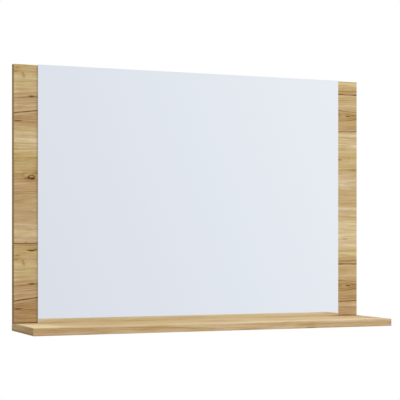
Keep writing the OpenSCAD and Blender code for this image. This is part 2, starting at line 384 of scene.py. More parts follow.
# The ramp that carries the bands holds numbers from 0 to 1, so yellow and slant are divided by these.
YELLOW_RANGE = 4
SLANT_RANGE = 40

# The print starts again at each joint between its planks: one lies this far down, the next a repeat higher.
PRINT_REPEAT = 394.3
PRINT_JOINT = 376
PRINT_START = PRINT_JOINT - PRINT_REPEAT
LEFT_PRINT = Print(
    bands=[
        Band(-18, -0.08, -0.3), Band(-8, -0.05, 0.1), Band(0, 0.03, 0.9), Band(14, 0.02, 0.8),
        Band(29, 0.2, 0.5), Band(38, 0.07, 0.4), Band(50, 0.12, 0.3), Band(60, 0.05, 0.3, 1),
        Band(71, 0, -0.3, 4), Band(90, 0.06, -0.6, 6), Band(98, -0.01, -0.4, 7), Band(110, -0.06, -0.4, 8),
        Band(122, -0.06, -0.2, 4), Band(129, -0.05, 0, 2), Band(135, 0.05, 0.2, 1), Band(148, 0.15, 0.2),
        Band(158, 0.2, 0.2), Band(172, 0.12, 0), Band(183, 0.06, 0.5), Band(193, 0, 1.1),
        Band(204, -0.05, 1), Band(215, 0.01, 0.9), Band(228, -0.05, 0.6), Band(244, -0.07, 0.2, 2),
        Band(253, 0, 0.1, 2), Band(267, -0.06, 0.1), Band(284, 0, -0.1, 2), Band(316, 0, -0.1, 1),
        Band(332, 0.06, 0), Band(350, 0.12, 0), Band(358, 0.16, 0.1), Band(372, 0.03, -0.4),
    ],
    lines=[
        Line(70.3, 66.8, 2.1, 0.22), Line(102.6, 95.8, 1.1, 0.42), Line(110, 101.5, 1.1, 0.16),
        Line(115.5, 106.5, 1, 0.12), Line(120.5, 121, 1.2, 0.09), Line(84, 80, 2.2, 0.08),
        Line(91, 86, 1.2, 0.06), Line(166, 164, 1.3, 0.08), Line(183, 183.5, 1.3, -0.07),
        Line(301, 298, 1.2, -0.06), Line(306, 306.5, 1.4, 0.08), Line(312.5, 312, 1.3, 0.07),
        Line(363, 363, 1.2, 0.08), Line(PRINT_JOINT, PRINT_JOINT, 0.9, 0.5),
        Line(PRINT_START, PRINT_START, 0.9, 0.5),
    ],
    dashes=[
        Dash(19.5, 18.5, 2.6, 3, 0.22), Dash(21.5, 25, 2.6, 3.2, 0.24), Dash(21, 23, 7, 8, 0.05),
        Dash(7, 7, 5, 1.5, 0.14), Dash(4, 16, 6, 1.5, 0.12), Dash(38, 66.2, 6.5, 1.8, 0.46),
        Dash(8, 119, 9, 1.7, 0.42), Dash(40, 121, 9, 2, 0.1), Dash(5, 178, 4, 2.2, 0.12),
        Dash(8, 197, 9, 4, 0.05), Dash(26, 201, 4, 1.3, 0.1), Dash(48, 229, 4, 4, 0.12),
        Dash(28, 238.8, 6, 1.6, 0.34), Dash(36, 242, 14, 5, 0.09), Dash(41, 240.5, 4.5, 1.8, 0.3),
        Dash(3, 236, 6, 1.2, 0.08), Dash(30, 247, 12, 2.2, 0.08), Dash(26, 374, 3, 1.2, 0.26),
        Dash(38, -11, 16, 4.5, 0.08), Dash(38.5, -3.6, 7.5, 1.3, 0.7), Dash(47, -5.6, 4, 1.3, 0.42),
        Dash(31, -5, 3, 1, 0.18), Dash(9, 5.7, 3, 1.6, 0.1), Dash(24, 2.5, 2.5, 1.6, 0.1),
        Dash(34, 355, 12, 3, -0.07), Dash(0, 50, 8, 70, -0.06), Dash(5, 13, 9, 5, 0.11),
        Dash(30, 105, 28, 4, -0.15), Dash(4, 171, 10, 6, 0.07), Dash(40, 186, 16, 4, 0.1),
        Dash(8, 226, 10, 5, -0.13), Dash(46, 226, 6, 4, 0.08), Dash(19, 234, 5, 3, 0.12),
        Dash(31, 235, 4, 3, -0.07), Dash(4, 242, 6, 4, -0.06), Dash(8, 291, 14, 4, 0.1),
        Dash(46, 291, 8, 4, -0.06), Dash(46, 308, 6, 4, -0.18), Dash(38, 324, 20, 4, 0.1),
        Dash(32, 348, 8, 4, 0.1), Dash(47, 358, 8, 5, -0.06), Dash(12, 17, 16, 4, 0.06),
        Dash(5, 59, 9, 3, -0.07), Dash(18, 155, 14, 5, 0.06), Dash(47, 180, 7, 14, -0.07),
        Dash(0, 356, 9, 8, -0.06), Dash(47, 1, 6, 2, -0.08), Dash(12, 336, 18, 2.4, 0.07),
        Dash(44, 26, 8, 4, 0.07), Dash(2, 18, 6, 6, 0.06),
    ],
    knots=[Knot(38, 236, 7.5, 4.6, 0.47, 0.18)],
    bends=[Bend(20, 21, 8, 7, 0.7), Bend(37.5, 237, 11, 7, 0.9), Bend(38, -3, 9, 5, 0.8)],
)
RIGHT_PRINT = Print(
    bands=[
        Band(-18, 0.16, 0), Band(-8, 0.09, 0.3), Band(0, 0, 0.7), Band(8, 0.1, 0.6), Band(15, 0.09, 0.6),
        Band(22, -0.13, 0.5), Band(34, -0.08, 0.2), Band(44, 0.02, 0.1), Band(58, 0.06, 0.4),
        Band(66, -0.05, 0.4), Band(76, -0.15, 0, 1), Band(86, -0.13, 0.1, 6), Band(97, -0.03, 0.2, 4),
        Band(107, -0.1, 0.4), Band(114, -0.06, 0, 2), Band(122, 0.15, 0.2, 1), Band(131, 0.1, 0.3),
        Band(140, 0.13, 0.1), Band(160, 0.06, 0.2), Band(177, -0.02, 0.8), Band(190, 0.05, 0.9),
        Band(203, -0.02, 0.6), Band(212, -0.03, 0.3), Band(224, 0.07, 0.1), Band(238, 0.11, -0.1),
        Band(250, 0.01, 0), Band(268, -0.05, 0), Band(284, -0.01, 0), Band(298, 0.13, 0),
        Band(318, 0.03, 0.1), Band(338, 0.17, -0.1), Band(366, 0.13, 0),
    ],
    lines=[
        Line(23.3, 22.8, 1, 0.2), Line(30, 30.3, 1.2, 0.5), Line(35, 35, 1.2, -0.05),
        Line(40, 40, 0.9, 0.07), Line(44, 44.5, 0.9, 0.07), Line(48, 48, 0.9, 0.06),
        Line(68.5, 71.5, 1.1, 0.24), Line(75, 77.5, 1.1, 0.12), Line(94, 87, 1.3, 0.2),
        Line(91, 82.5, 1.2, 0.08), Line(104, 104, 1.5, 0.06), Line(117.8, 115.2, 1.3, 0.5),
        Line(129.5, 132, 1.2, 0.16), Line(137, 137, 1.2, 0.06), Line(206.3, 206, 1.1, 0.1),
        Line(254, 254, 1, 0.08), Line(258.5, 259, 1, 0.08), Line(263, 263, 1, 0.07),
        Line(276, 276.5, 1, 0.08), Line(281, 281, 1, 0.07), Line(286, 286.5, 1, 0.07),
        Line(291, 291, 0.9, 0.05), Line(305, 305.5, 1.1, 0.06), Line(313, 313, 1.1, 0.07),
        Line(-11.3, -11.5, 1, -0.05),
    ],
    dashes=[
        Dash(8, 29.8, 6, 1, 0.14), Dash(30, 24.8, 10, 1, 0.14), Dash(27, 80.3, 5.4, 1.25, 0.68),
        Dash(27, 74.5, 12, 1.2, 0.1), Dash(37, 78.8, 8, 1.2, 0.14), Dash(8, 81, 6, 1.5, 0.08),
        Dash(30, 59, 7, 1.5, -0.08), Dash(26, 62, 6, 1, 0.05), Dash(4, 182.6, 6.5, 1.7, 0.44),
        Dash(30, 180, 2, 3.5, 0.12), Dash(38, 206.2, 14, 1, 0.16), Dash(34, 212.5, 15, 1, 0.1),
        Dash(45, 216.5, 6, 1.2, 0.06), Dash(12, 240, 4, 2, -0.1), Dash(7, 250, 5, 3, 0.05),
        Dash(20, 366.8, 6.5, 1.3, 0.32), Dash(8, 33.2, 5, 1.2, -0.08), Dash(4, 68, 5, 1.2, 0.12),
        Dash(44, 78.5, 9, 1.4, 0.2), Dash(8, 49, 20, 6, 0.07), Dash(3, 80, 6, 4, 0.14),
        Dash(16, 155, 12, 5, 0.09), Dash(46, 151, 7, 4, -0.08), Dash(8, 173, 16, 6, 0.05),
        Dash(46, 208, 10, 4, 0.14), Dash(44, 236, 20, 14, 0.11), Dash(32, 290, 26, 4, 0.11),
        Dash(42, 313, 14, 4, -0.09), Dash(20, 87, 8, 3, -0.06), Dash(0, 361, 14, 5, -0.05),
        Dash(18, 218, 20, 4, -0.08), Dash(10, 353, 22, 4, 0.07), Dash(46, 251, 8, 4, 0.08),
        Dash(4, 202, 12, 3, -0.06),
    ],
    bends=[Bend(30, 59, 12, 6, 0.8), Bend(27, 80, 12, 6, 0.9), Bend(8, 249, 8, 6, 0.8)],
)
# The shelf's print: heights are distances from the wall, and distances across run from its middle. The
# paler bands towards the front edge are partly the grain and partly a painted sheen.
SHELF_PRINT = Print(
    bands=[
        Band(16, 0.15, 0.1), Band(32, 0.15, 0.2), Band(50, 0.18, 0.2), Band(66, 0.18, 0.2),
        Band(92, 0.18, 0.3), Band(112, 0.18, 0.3), Band(146, 0.24, 0.3), Band(158, 0.25, 0.2),
        Band(170, 0.25, 0.2),
    ],
    lines=[Line(64, 64.4, 1.6, 0.08), Line(91, 90.8, 1.4, 0.07), Line(141, 140.9, 1.2, 0.05)],
    dashes=[
        Dash(-66, 153, 8, 2, 0.34), Dash(-120, 130, 40, 2, 0.1), Dash(150, 134, 60, 2.4, 0.08),
        Dash(-395, 92, 38, 60, -0.2), Dash(-398, 136, 50, 24, -0.32), Dash(-315, 42, 44, 26, 0.08),
        Dash(-175, 24, 50, 14, 0.07), Dash(80, 26, 80, 18, -0.09), Dash(150, 45, 30, 20, -0.06),
        Dash(12, 92, 42, 22, 0.13), Dash(150, 102, 26, 14, 0.07), Dash(240, 72, 60, 24, -0.07),
        # Dash(376, 25, 32, 23, 0.38) is a painted shadow on the shelf in front of the right strip's foot.
        Dash(-230, 94, 60, 22, 0.05), Dash(376, 25, 32, 23, 0.38), Dash(230, 152, 150, 16, -0.12),
        Dash(335, 160, 30, 12, -0.18), Dash(100, 152, 30, 16, -0.08), Dash(402, 110, 26, 56, 0.18),
        Dash(-345, 100, 40, 50, -0.03), Dash(-160, 134, 90, 14, 0.08), Dash(50, 122, 26, 12, 0.1),
        Dash(280, 36, 90, 12, -0.04), Dash(-240, 100, 50, 30, 0.04),
    ],
)
# The front edging's print: heights run down from its upper corner, distances across from its middle.
RIM_PRINT = Print(
    bands=[
        Band(0, 0.12, -0.2), Band(1.6, 0.1, -0.3), Band(3.2, 0, -0.4), Band(8, 0, -0.4),
        Band(12.5, 0.08, -0.5), Band(15.5, 0, -0.3),
    ],
    lines=[Line(6, 6, 0.9, 0.05), Line(10.4, 10.4, 0.8, 0.05)],
    dashes=[
        Dash(-140, 5.4, 30, 0.9, 0.16), Dash(-100, 6.6, 26, 0.9, 0.2), Dash(-62, 8.2, 24, 0.9, 0.18),
        Dash(-22, 10.2, 30, 1, 0.12), Dash(0, 3.5, 110, 4, -0.16), Dash(60, 8.5, 110, 4.5, -0.1),
        Dash(290, 6, 150, 8, -0.06), Dash(-330, 7, 60, 3, 0.06), Dash(-250, 10, 40, 5, -0.06),
        Dash(209, 14.5, 11, 1.6, 0.3), Dash(350, 6, 50, 2.4, 0.06), Dash(408, 8, 3, 8, 0.08),
        Dash(-75, 4, 50, 3, -0.1), Dash(200, 8, 24, 2.4, 0.2), Dash(80, 13, 50, 2.4, 0.14),
        Dash(60, 13, 26, 2, 0.06), Dash(270, 2, 140, 2.5, -0.06), Dash(-335, 2, 80, 2.5, 0.06),
        Dash(-312, 5, 26, 2, 0.09), Dash(-60, 2, 40, 1.6, 0.07), Dash(10, 8, 40, 1.6, -0.12),
        Dash(-112, 8.6, 26, 1.4, -0.09), Dash(-140, 14.2, 110, 2, -0.09), Dash(315, 12, 40, 3, 0.1),
        Dash(-365, 9.5, 45, 3.5, 0.05),
    ],
)


# The middle tone of each printed face, and the painted shade of the two kinds of edging that look to a side:
# darker, browner tints for the weaker light on the sides.
BACK_TONE = 0.68
BACK_SIDE_TONE = 0.69
SHELF_TONE = 0.625
SHELF_EDGE_TONE = 0.64
BACK_SIDE_SHADE = (0.73, 0.69, 0.52)
SHELF_END_SHADE = (0.95, 0.93, 0.86)
# How strongly the grain of the back board stands out, against that of the shelf.
BACK_CONTRAST = 0.88
# The printed paper has little shine.
PRINT_SHINE = 0.05
# How many times deeper raw chips stand out than the pores of the print.
CHIP_RELIEF = 6
# Distances along and across the grain that give the shelf and the edging their own part of the noise.
SHELF_SHIFT = (1300, 700)
EDGING_SHIFT = (2100, 333)
# Half the length of the back board's middle stretch, and the size of the cells that hold a stray knot each.
MIDDLE_HALF = 300
KNOT_CELL = (330, 118)
# The back board's painted shade from the shelf deepens down to this distance below its top edge, which is
# just past its foot.
FOOT_SHADE_END = 548
# How thin the printed layer is on a board: it has gone at the further of these depths.
PRINT_DEPTHS = (0.06, 0.02)


def repeated(tree, height):
    """Height in the print's own plank, from one joint to the next."""
    return tree.math("FLOORED_MODULO", height - PRINT_START, PRINT_REPEAT) + PRINT_START


def bent_grain(tree, across, height, slant, bends):
    """Height of the grain line through a point.

    A slant lifts it evenly along the strip. A bend pushes it away from the middle of a knot, by a share
    of its distance that a bell of the distance gives.
    """
    grain = height + across * slant * (1 / STRIP)
    for bend in bends:
        offset = height - bend.height
        near = tree.bell(across - bend.across, bend.length) * tree.bell(offset, bend.half)
        grain = tree.math("MULTIPLY_ADD", offset * near, -bend.push, grain)
    return grain


def print_marks(tree, across, height, marks, waver, ink):
    """The tone that the marks of a print add, how yellow it is there, and how the grain is bent.

    The bands are stops of a ramp over the height. A line is a bell curve round a height that slants from
    one side of the strip to the other, and a dash is a bell of the elliptical distance from its middle. A
    knot is a bright heart with a dark ring. Waver moves the bands, and the other marks a fifth as far, so
    that none is straight. Ink makes lines and rings stronger in some places than in others.
    """
    top, foot = marks.bands[0].height, marks.bands[-1].height
    stops = []
    for band in marks.bands:
        parts = (band.tone, band.yellow / YELLOW_RANGE, band.slant / SLANT_RANGE)
        stops.append(((band.height - top) / (foot - top), tuple(0.5 + part for part in parts)))
    place = (height + waver - top) / (foot - top)
    split = tree.add("ShaderNodeSeparateColor", None, {0: tree.ramp(place, stops)})
    tone, yellow, slant = (Signal(tree, socket) - 0.5 for socket in split.outputs[:3])
    bent = bent_grain(tree, across, height, slant * SLANT_RANGE, marks.bends)
    place = tree.vector(across + waver * 0.3, height + waver * 0.2, 1)
    lines = 0.0
    for line in marks.lines:
        offset = tree.dot(place, ((line.left - line.right) / STRIP, 1, -line.left))
        lines = tree.math("MULTIPLY_ADD", tree.bell(offset, line.half), line.depth, lines)
    tone = tone - lines * ink
    for dash in marks.dashes:
        shape = tree.far(place, (dash.across, dash.height), (dash.length, dash.half)).fade(BELL_REACH, 0)
        tone = tree.math("MULTIPLY_ADD", shape, -dash.depth, tone)
    for knot in marks.knots:
        blur = (tree.noise(across / 5, height / 4, 2.0, 0.6, 41.0) - 0.5) * 1.6
        radius = tree.far(place, (knot.across, knot.height), (knot.length, knot.half)) + blur
        ring = tree.bell(radius - 0.75, 0.45) * knot.depth * ink
        tone = tone - ring + tree.bell(radius, 0.3) * knot.heart
    return tone, yellow * YELLOW_RANGE, bent


def oak_tone(tree, along, grain, tone, contrast):
    """The tone of printed oak from 0, a crack, to 1, pale sapwood, with its pores and its fibres.

    Noise that is stretched along the grain is laid over itself at five widths: broad bands, streaks,
    lines, fibres and pores. Pale rays cross it as short flecks.
    """
    level = grain + (tree.noise(along / 210, grain / 70, 1.0) - 0.5) * 12
    level = level + (tree.noise(along / 38, grain / 16, 1.0, 0.5, 9.0) - 0.5) * 3.6
    bands = tree.noise(along / 420, level / 17, 2.0, 0.55, 3.1) - 0.5
    streaks = tree.noise(along / 120, level / 5.2, 2.0, 0.6, 7.7) - 0.5
    lines = tree.noise(along / 75, level / 2.3, 1.0, 0.5, 15.1) - 0.5
    fibres = tree.noise(along / 26, level / 0.9, 2.0, 0.6, 12.3) - 0.5
    rays = tree.noise(along / 16, level / 4.4, 2.0, 0.5, 27.0).fade(0.56, 0.74)
    pores = tree.noise(along / 7, level / 0.42, 1.0, 0.5, 17.9).fade(0.60, 0.78)
    pores = pores * tree.noise(along / 60, level / 6, 1.0, 0.5, 23.5).fade(0.38, 0.62)
    print_noise = bands * 0.26 + streaks * 0.56 + lines * 0.52 + fibres * 0.40 + rays * 0.05
    return tone + print_noise * contrast - pores * 0.10, pores, fibres


def oak_surface(tree, settings, along, grain, tone, yellow, contrast, tint=None):
    """Colour, roughness and relief of printed oak; yellow shifts the colour to gold or pink."""
    tone, pores, fibres = oak_tone(tree, along, grain, tone, contrast)
    colour = tree.ramp(tone, [
        (0.0, settings.dark), (0.40, settings.brown), (0.62, settings.golden),
        (0.80, settings.light), (1.0, settings.cream)])
    hue = yellow * 0.4 + 0.4 + (tree.noise(along / 90, grain / 24, 2.0, 0.5, 33.0) - 0.5) * 1.6
    gold = tree.mix(hue.fade(0.0, 1.0), (1.015, 0.985, 1.07), (0.99, 1.005, 0.85))
    colour = tree.mix(1.0, colour, gold, "MULTIPLY")
    # The tint carries painted light and shade: the shelf's brighter strip by the wall, and the darker sides
    # of the edging.
    if tint:
        colour = tree.mix(1.0, colour, tint, "MULTIPLY")
    roughness = settings.roughness + pores * 0.2 + (tone - 0.5) * 0.06
    return colour, roughness, fibres * 0.4 - pores * 0.65


def edging_surface(tree, settings, along, level, tone, yellow, contrast=1.0, tint=None):
    """Ends the material of an edging: oak whose grain runs along the strip."""
    colour, roughness, relief = oak_surface(tree, settings, along, level, tone, yellow, contrast, tint)
    tree.surface(
        Base_Color=colour, Roughness=roughness, Specular_IOR_Level=PRINT_SHINE,
        Normal=tree.relief(relief, settings.relief))


def chipboard(tree, x, y, z):
    """Colour, roughness and relief of raw chipboard: flat chips of many tones, with dark gaps and fine
    dust."""
    gap, tint = tree.cells(x / 2.6, y / 1.1, z / 1.7)
    fine_gap, fine_tint = tree.cells(x / 0.9, y / 0.5, z / 0.7)
    dust = tree.noise(x / 0.6, z / 0.6, 2.0, 0.6, y / 0.6)
    tone = tint * 0.5 + fine_tint * 0.25 + dust * 0.35 - gap * 0.18 - fine_gap * 0.1
    colour = tree.ramp(tone, [
        (0.0, paint("6B4E30")), (0.3, paint("9A7B52")), (0.55, paint("BFA176")), (0.85, paint("DCC6A0"))])
    return colour, 0.86 - tone * 0.1, tone * CHIP_RELIEF


def finish_board(tree, settings, oak, chips, printed):
    """Ends the material of a board: printed oak where printed is 1, and raw chipboard elsewhere."""
    colour, roughness, height = oak
    raw_colour, raw_roughness, raw_height = chips
    tree.surface(
        Base_Color=tree.mix(printed, raw_colour, colour),
        Roughness=between(raw_roughness, roughness, printed),
        Specular_IOR_Level=PRINT_SHINE,
        Normal=tree.relief(between(raw_height, height, printed), settings.relief))


def board_along(tree, x):
    """Distance along the back board's grain: two and a half times shorter in the middle, where the streaks
    are that much longer."""
    return x - tree.smallest(tree.largest(x + MIDDLE_HALF, 0), 2 * MIDDLE_HALF) * 0.6


def stray_knots(tree, x, height):
    """Tone and bend of small knots strewn over a board, one in each cell of a pattern.

    A knot is a dark bell inside a wider, browner one, and the grain is pushed away from its middle.
    """
    length, width = KNOT_CELL
    place = tree.vector(x / length, height / width)
    cell = tree.add("ShaderNodeTexVoronoi", None, {"Vector": place, "Scale": 1.0}).outputs["Position"]
    middle = tree.add("ShaderNodeSeparateXYZ", None, {0: cell})
    across = x - Signal(tree, middle.outputs[0]) * length
    off = height - Signal(tree, middle.outputs[1]) * width
    near = tree.bell(across, 24) * tree.bell(off, 9)
    heart = tree.bell(across, 6) * tree.bell(off, 1.8)
    return heart * -0.55 - near * 0.10, off * near * -0.8


def back_print(tree, x, z):
    """Tone, yellow and grain line of the print on the face of the back board.

    The marks of the left strip fade out to its right and those of the right strip to its left. Painted
    shade makes the board darker and less golden towards its foot, where the shelf takes light away, and a
    painted contact shadow runs along the line where it meets the shelf.
    """
    down = BOARD_TOP - z
    height = repeated(tree, down)
    waver = (tree.noise(x / 45, down / 30, 1.0, 0.5, 31.0) - 0.5) * 6
    waver = waver + (tree.noise(x / 13, down / 9, 1.0, 0.5, 35.0) - 0.5) * 2.4
    ink = 0.45 + tree.noise(x / 20, down / 12, 2.0, 0.5, 51.0) * 1.1
    # Painted shade near the foot, where the shelf takes light away: darker and less golden, deepest at the
    # left.
    lowest_painted_shade = down.fade(524, 540) * (x.fade(200, -200) * 0.17 - 0.06)
    foot = down.fade(430, FOOT_SHADE_END) * 0.06 + down.fade(512, 528) * 0.09 + lowest_painted_shade
    # Painted contact shadow: a dark line along the foot where the board meets the shelf.
    painted_contact_shadow = (BOARD_LOW.z * MM + 3.4 - z).fade(0.0, 1.4) * 0.30
    tone, yellow, grain = BACK_TONE - foot - painted_contact_shadow, foot * -4, height
    for marks, start, full, gone, lift in (
            (LEFT_PRINT, BOARD_LEFT, 80, 180, -0.04),
            (RIGHT_PRINT, BOARD_RIGHT - STRIP, -30, -130, 0.043)):
        across = x - start
        here = across.fade(gone, full)
        marked, golden, bent = print_marks(tree, across, height, marks, waver, ink)
        tone = tree.math("MULTIPLY_ADD", marked + lift, here, tone)
        yellow = tree.math("MULTIPLY_ADD", golden, here, yellow)
        grain = tree.math("MULTIPLY_ADD", bent - height, here, grain)
    middle = abs(x).fade(320, 260)
    knots, bend = stray_knots(tree, x, height)
    tone = tree.math("MULTIPLY_ADD", knots, middle, tone)
    grain = tree.math("MULTIPLY_ADD", bend, middle, grain)
    return tone, yellow, grain


def back_board_material(settings):
    """Oak on the front and back faces, and chipboard in the pockets, in the bores and underneath."""
    material, tree = new_material("Back board", settings.golden)
    x, y, z = tree.point()
    front = (y - BOARD_LOW.y * MM).fade(*PRINT_DEPTHS)
    back = (BOARD_HIGH.y * MM - y).fade(*PRINT_DEPTHS)
    tone, yellow, grain = back_print(tree, x, z)
    oak = oak_surface(tree, settings, board_along(tree, x), grain, tone, yellow, BACK_CONTRAST)
    finish_board(tree, settings, oak, chipboard(tree, x, y, z), tree.largest(front, back))
    return material


def back_edging_material(settings):
    """Edging of the back board: the board's print runs on over its front, and elsewhere the grain runs
    along the strip. Its upright sides carry painted shade, a darker and browner tint for the weaker light
    from the sides, which deepens towards the foot."""
    material, tree = new_material("Back edging", settings.golden)
    x, y, z = tree.point()
    facing_x, facing_y = tree.facing()[:2]
    front = facing_y.fade(0.35, 0.7)
    upright = facing_x.fade(0.4, 0.6)
    tone, yellow, grain = back_print(tree, x, z)
    along = board_along(tree, x)
    side_along = between(x, z, upright) + EDGING_SHIFT[0]
    side_level = y * 1.4 + EDGING_SHIFT[1]
    # Painted shade: the upright sides grow darker towards the foot.
    shaded_side_tone = BACK_SIDE_TONE - (BOARD_TOP - z).fade(0, FOOT_SHADE_END) * 0.20
    edging_surface(
        tree, settings, between(side_along, along, front), between(side_level, grain, front),
        between(shaded_side_tone, tone, front), yellow * front, BACK_CONTRAST,
        # Painted shade on the upright sides: a darker, browner tint for the weaker light from the sides.
        tree.mix((1 - front) * upright, (1, 1, 1), BACK_SIDE_SHADE))
    return material


def shelf_board_material(settings):
    """Oak on the upper and lower faces, and chipboard at the rear and in the bores."""
    material, tree = new_material("Shelf board", settings.golden)
    x, y, z = tree.point()
    below = (z - SHELF_LOW.z * MM).fade(*PRINT_DEPTHS)
    above = (SHELF_TOP - z).fade(*PRINT_DEPTHS)
    depth = -y
    waver = (tree.noise(x / 60, depth / 30, 1.0, 0.5, 31.0) - 0.5) * 9
    ink = 0.45 + tree.noise(x / 40, depth / 12, 2.0, 0.5, 51.0) * 1.1
    tone, yellow, grain = print_marks(tree, x, depth, SHELF_PRINT, waver, ink)
    # Painted light: the shelf grows brighter and warmer within a few centimetres of the wall, below the
    # mirror.
    painted_light_by_wall = tree.mix(depth.fade(80, 20), (1.015, 1.005, 0.975), (1.08, 1.01, 0.94))
    paler = x.fade(120, 360) * -0.5
    oak = oak_surface(
        tree, settings, x * 0.5 + SHELF_SHIFT[0], grain + SHELF_SHIFT[1], tone + SHELF_TONE, yellow + paler,
        1.0, painted_light_by_wall)
    finish_board(tree, settings, oak, chipboard(tree, x, y, z), tree.largest(below, above))
    return material


def shelf_front_material(settings):
    """Oak print on the shelf's front edging, whose grain runs along X."""
    material, tree = new_material("Shelf front edging", settings.golden)
    x, y, z = tree.point()
    level = BOARD_TOP - z - y * 0.5
    waver = (tree.noise(x / 60, level / 6, 1.0, 0.5, 3.0) - 0.5) * 2
    tone, yellow = print_marks(tree, x, SHELF_TOP - z, RIM_PRINT, waver, 1.0)[:2]
    edging_surface(
        tree, settings, x + EDGING_SHIFT[0], level * 1.4 + EDGING_SHIFT[1], tone + SHELF_EDGE_TONE, yellow)
    return material


def shelf_end_material(settings):
    """Oak print on the edging of the shelf's ends, whose grain runs along Y: paler near the wall, along
    the upper corner, and browner along the lower one."""
    material, tree = new_material("Shelf end edging", settings.golden)
    x, y, z = tree.point()
    down = SHELF_TOP - z
    paler = (1 - down.fade(3, 12)) * (y + 115).fade(0, 50) * 0.17
    tone = paler - down.fade(7, 13) * 0.14 + SHELF_EDGE_TONE
    edging_surface(
        tree, settings, y + EDGING_SHIFT[0], (x + z) * 1.4 + EDGING_SHIFT[1], tone, 0.0,
        # Painted shade on the shelf's ends: a darker, warmer tint for the weaker light from the sides.
        tint=SHELF_END_SHADE)
    return material


# ---- Glass and what holds it ----


def mirror_material(settings):
    """A silvered face with polished corners and ground, faintly green edges, which carry a painted glow:
    emission that makes them brighter, though they are no lamp.

    The face and its corners are where the surface looks to the front or back; the ground edges are where
    it looks to a side, up or down, with fine grinding marks along them.
    """
    material, tree = new_material("Silvered glass", settings.silver)
    x, y, z = tree.point()
    facing_y = tree.facing()[1]
    silvered = facing_y.fade(0.3, 0.6)
    flat = facing_y.fade(0.85, 0.97)
    marks = tree.noise(x / 0.8, z / 0.8, 2.0, 0.6, y / 0.05)
    depth = tree.noise(x / 40, z / 40, 2.0, 0.5)
    edge = tree.ramp(marks * 0.6 + depth * 0.4, [
        (0.2, shaded(settings.edge, 0.82)), (0.8, shaded(settings.edge, 1.15))])
    tree.surface(
        Base_Color=tree.mix(silvered, edge, settings.silver),
        Metallic=silvered,
        Roughness=(1 - flat) * 0.06 + (1 - silvered) * (marks * 0.16 + 0.30),
        # Painted glow on the ground edges.
        Emission_Color=tree.mix(silvered, edge, (0, 0, 0)),
        Emission_Strength=settings.painted_glow,
        Normal=tree.relief(marks * (1 - flat), 0.00001))
    return material


def back_paint_material(settings):
    """Sprayed paint behind the silver: orange peel, and cloudy where the coat is thicker."""
    material, tree = new_material("Mirror back paint", settings.paint)
    x, _, z = tree.point()
    peel = tree.noise(x / 1.6, z / 1.6, 2.0, 0.5)
    cloud = tree.noise(x / 60, z / 60, 3.0, 0.5, 5.0)
    colour = tree.ramp(cloud * 0.7 + peel * 0.3, [
        (0.25, shaded(settings.paint, 0.86)), (0.75, shaded(settings.paint, 1.12))])
    tree.surface(Base_Color=colour, Roughness=0.38 + peel * 0.18, Normal=tree.relief(peel, 0.00003))
    return material


def foam_material(colour):
    """Closed-cell foam: small round cells that show as pits along the cut edges."""
    material, tree = new_material("Foam tape", colour)
    x, y, z = tree.point()
    cell, tint = tree.cells(x / 0.35, y / 0.35, z / 0.35)
    shade = tree.ramp(tint * 0.4 + cell, [(0.1, colour), (1.0, shaded(colour, 0.82))])
    tree.surface(Base_Color=shade, Roughness=0.82 - tint * 0.06, Normal=tree.relief(1 - cell, 0.00012))
    return material


# ---- Fittings ----


def zinc_material(colour, name, stretch=(1, 1, 1)):
    """Bright zinc plating: cloudy spangle, faint drawing lines, and rougher, darker specks."""
    material, tree = new_material(name, colour)
    x, y, z = tree.point()
    x, y, z = (value * scale for value, scale in zip((x, y, z), stretch))
    spangle = tree.noise(x / 2.2, z / 2.2, 3.0, 0.55, y / 2.2)
    lines = tree.noise(x / 9, z / 0.16, 2.0, 0.5, y / 0.4)
    specks = tree.noise(x / 0.5, z / 0.5, 1.0, 0.5, y / 0.5).fade(0.66, 0.80)
    tone = spangle * 0.6 + lines * 0.4 - specks * 0.25
    shade = tree.ramp(tone, [(0.2, shaded(colour, 0.62)), (0.5, shaded(colour, 0.86)), (0.8, colour)])
    tree.surface(
        Base_Color=shade, Metallic=1.0, Roughness=0.26 + (1 - spangle) * 0.18 + specks * 0.25,
        Normal=tree.relief(lines * 0.5 + spangle * 0.5 - specks, 0.00002))
    return material


def cap_material(colour):
    """Moulded plastic: a fine even grain, slightly cloudy."""
    material, tree = new_material("Screw cap plastic", colour)
    x, y, z = tree.point()
    grain = tree.noise(x / 0.22, y / 0.22, 2.0, 0.6, z / 0.22)
    cloud = tree.noise(x / 5, y / 5, 2.0, 0.5, z / 5)
    shade = tree.ramp(cloud, [(0.3, shaded(colour, 0.93)), (0.7, shaded(colour, 1.05))])
    tree.surface(Base_Color=shade, Roughness=0.44 + grain * 0.14, Normal=tree.relief(grain, 0.00003))
    return material


def beech_material():
    """Beech: pale reddish wood with short dark flecks along the grain, which runs along the dowel."""
    material, tree = new_material("Beech", paint("D2AE7E"))
    x, y, z = tree.point()
    grain = tree.noise(x / 0.8, y / 0.8, 3.0, 0.55, z / 12)
    flecks = tree.noise(x / 0.25, y / 0.25, 1.0, 0.5, z / 2.2).fade(0.62, 0.74)
    shade = tree.ramp(grain - flecks * 0.35, [
        (0.1, paint("8F6238")), (0.4, paint("C79E6C")), (0.8, paint("E3C69A"))])
    tree.surface(
        Base_Color=shade, Roughness=0.7 + flecks * 0.1, Normal=tree.relief(grain - flecks, 0.00008))
    return material


def star_radius(angle, span, arm):
    """Distance from the middle of a cross to its outline: the further of its two bars, each a rectangle
    whose outline lies at the nearer of its side and its end."""
    nearly_nothing = 1e-9
    cosine = np.abs(np.cos(angle)) + nearly_nothing
    sine = np.abs(np.sin(angle)) + nearly_nothing
    level = np.minimum(0.5 * span / cosine, 0.5 * arm / sine)
    upright = np.minimum(0.5 * arm / cosine, 0.5 * span / sine)
    return np.maximum(level, upright)


def hexagon_radius(angle, width):
    """Distance from the middle of a hexagon to its outline: half its width over the cosine of the angle
    from the middle of the nearest side."""
    turn = np.mod(angle, pi / 3) - pi / 6
    return 0.5 * width / np.cos(turn)


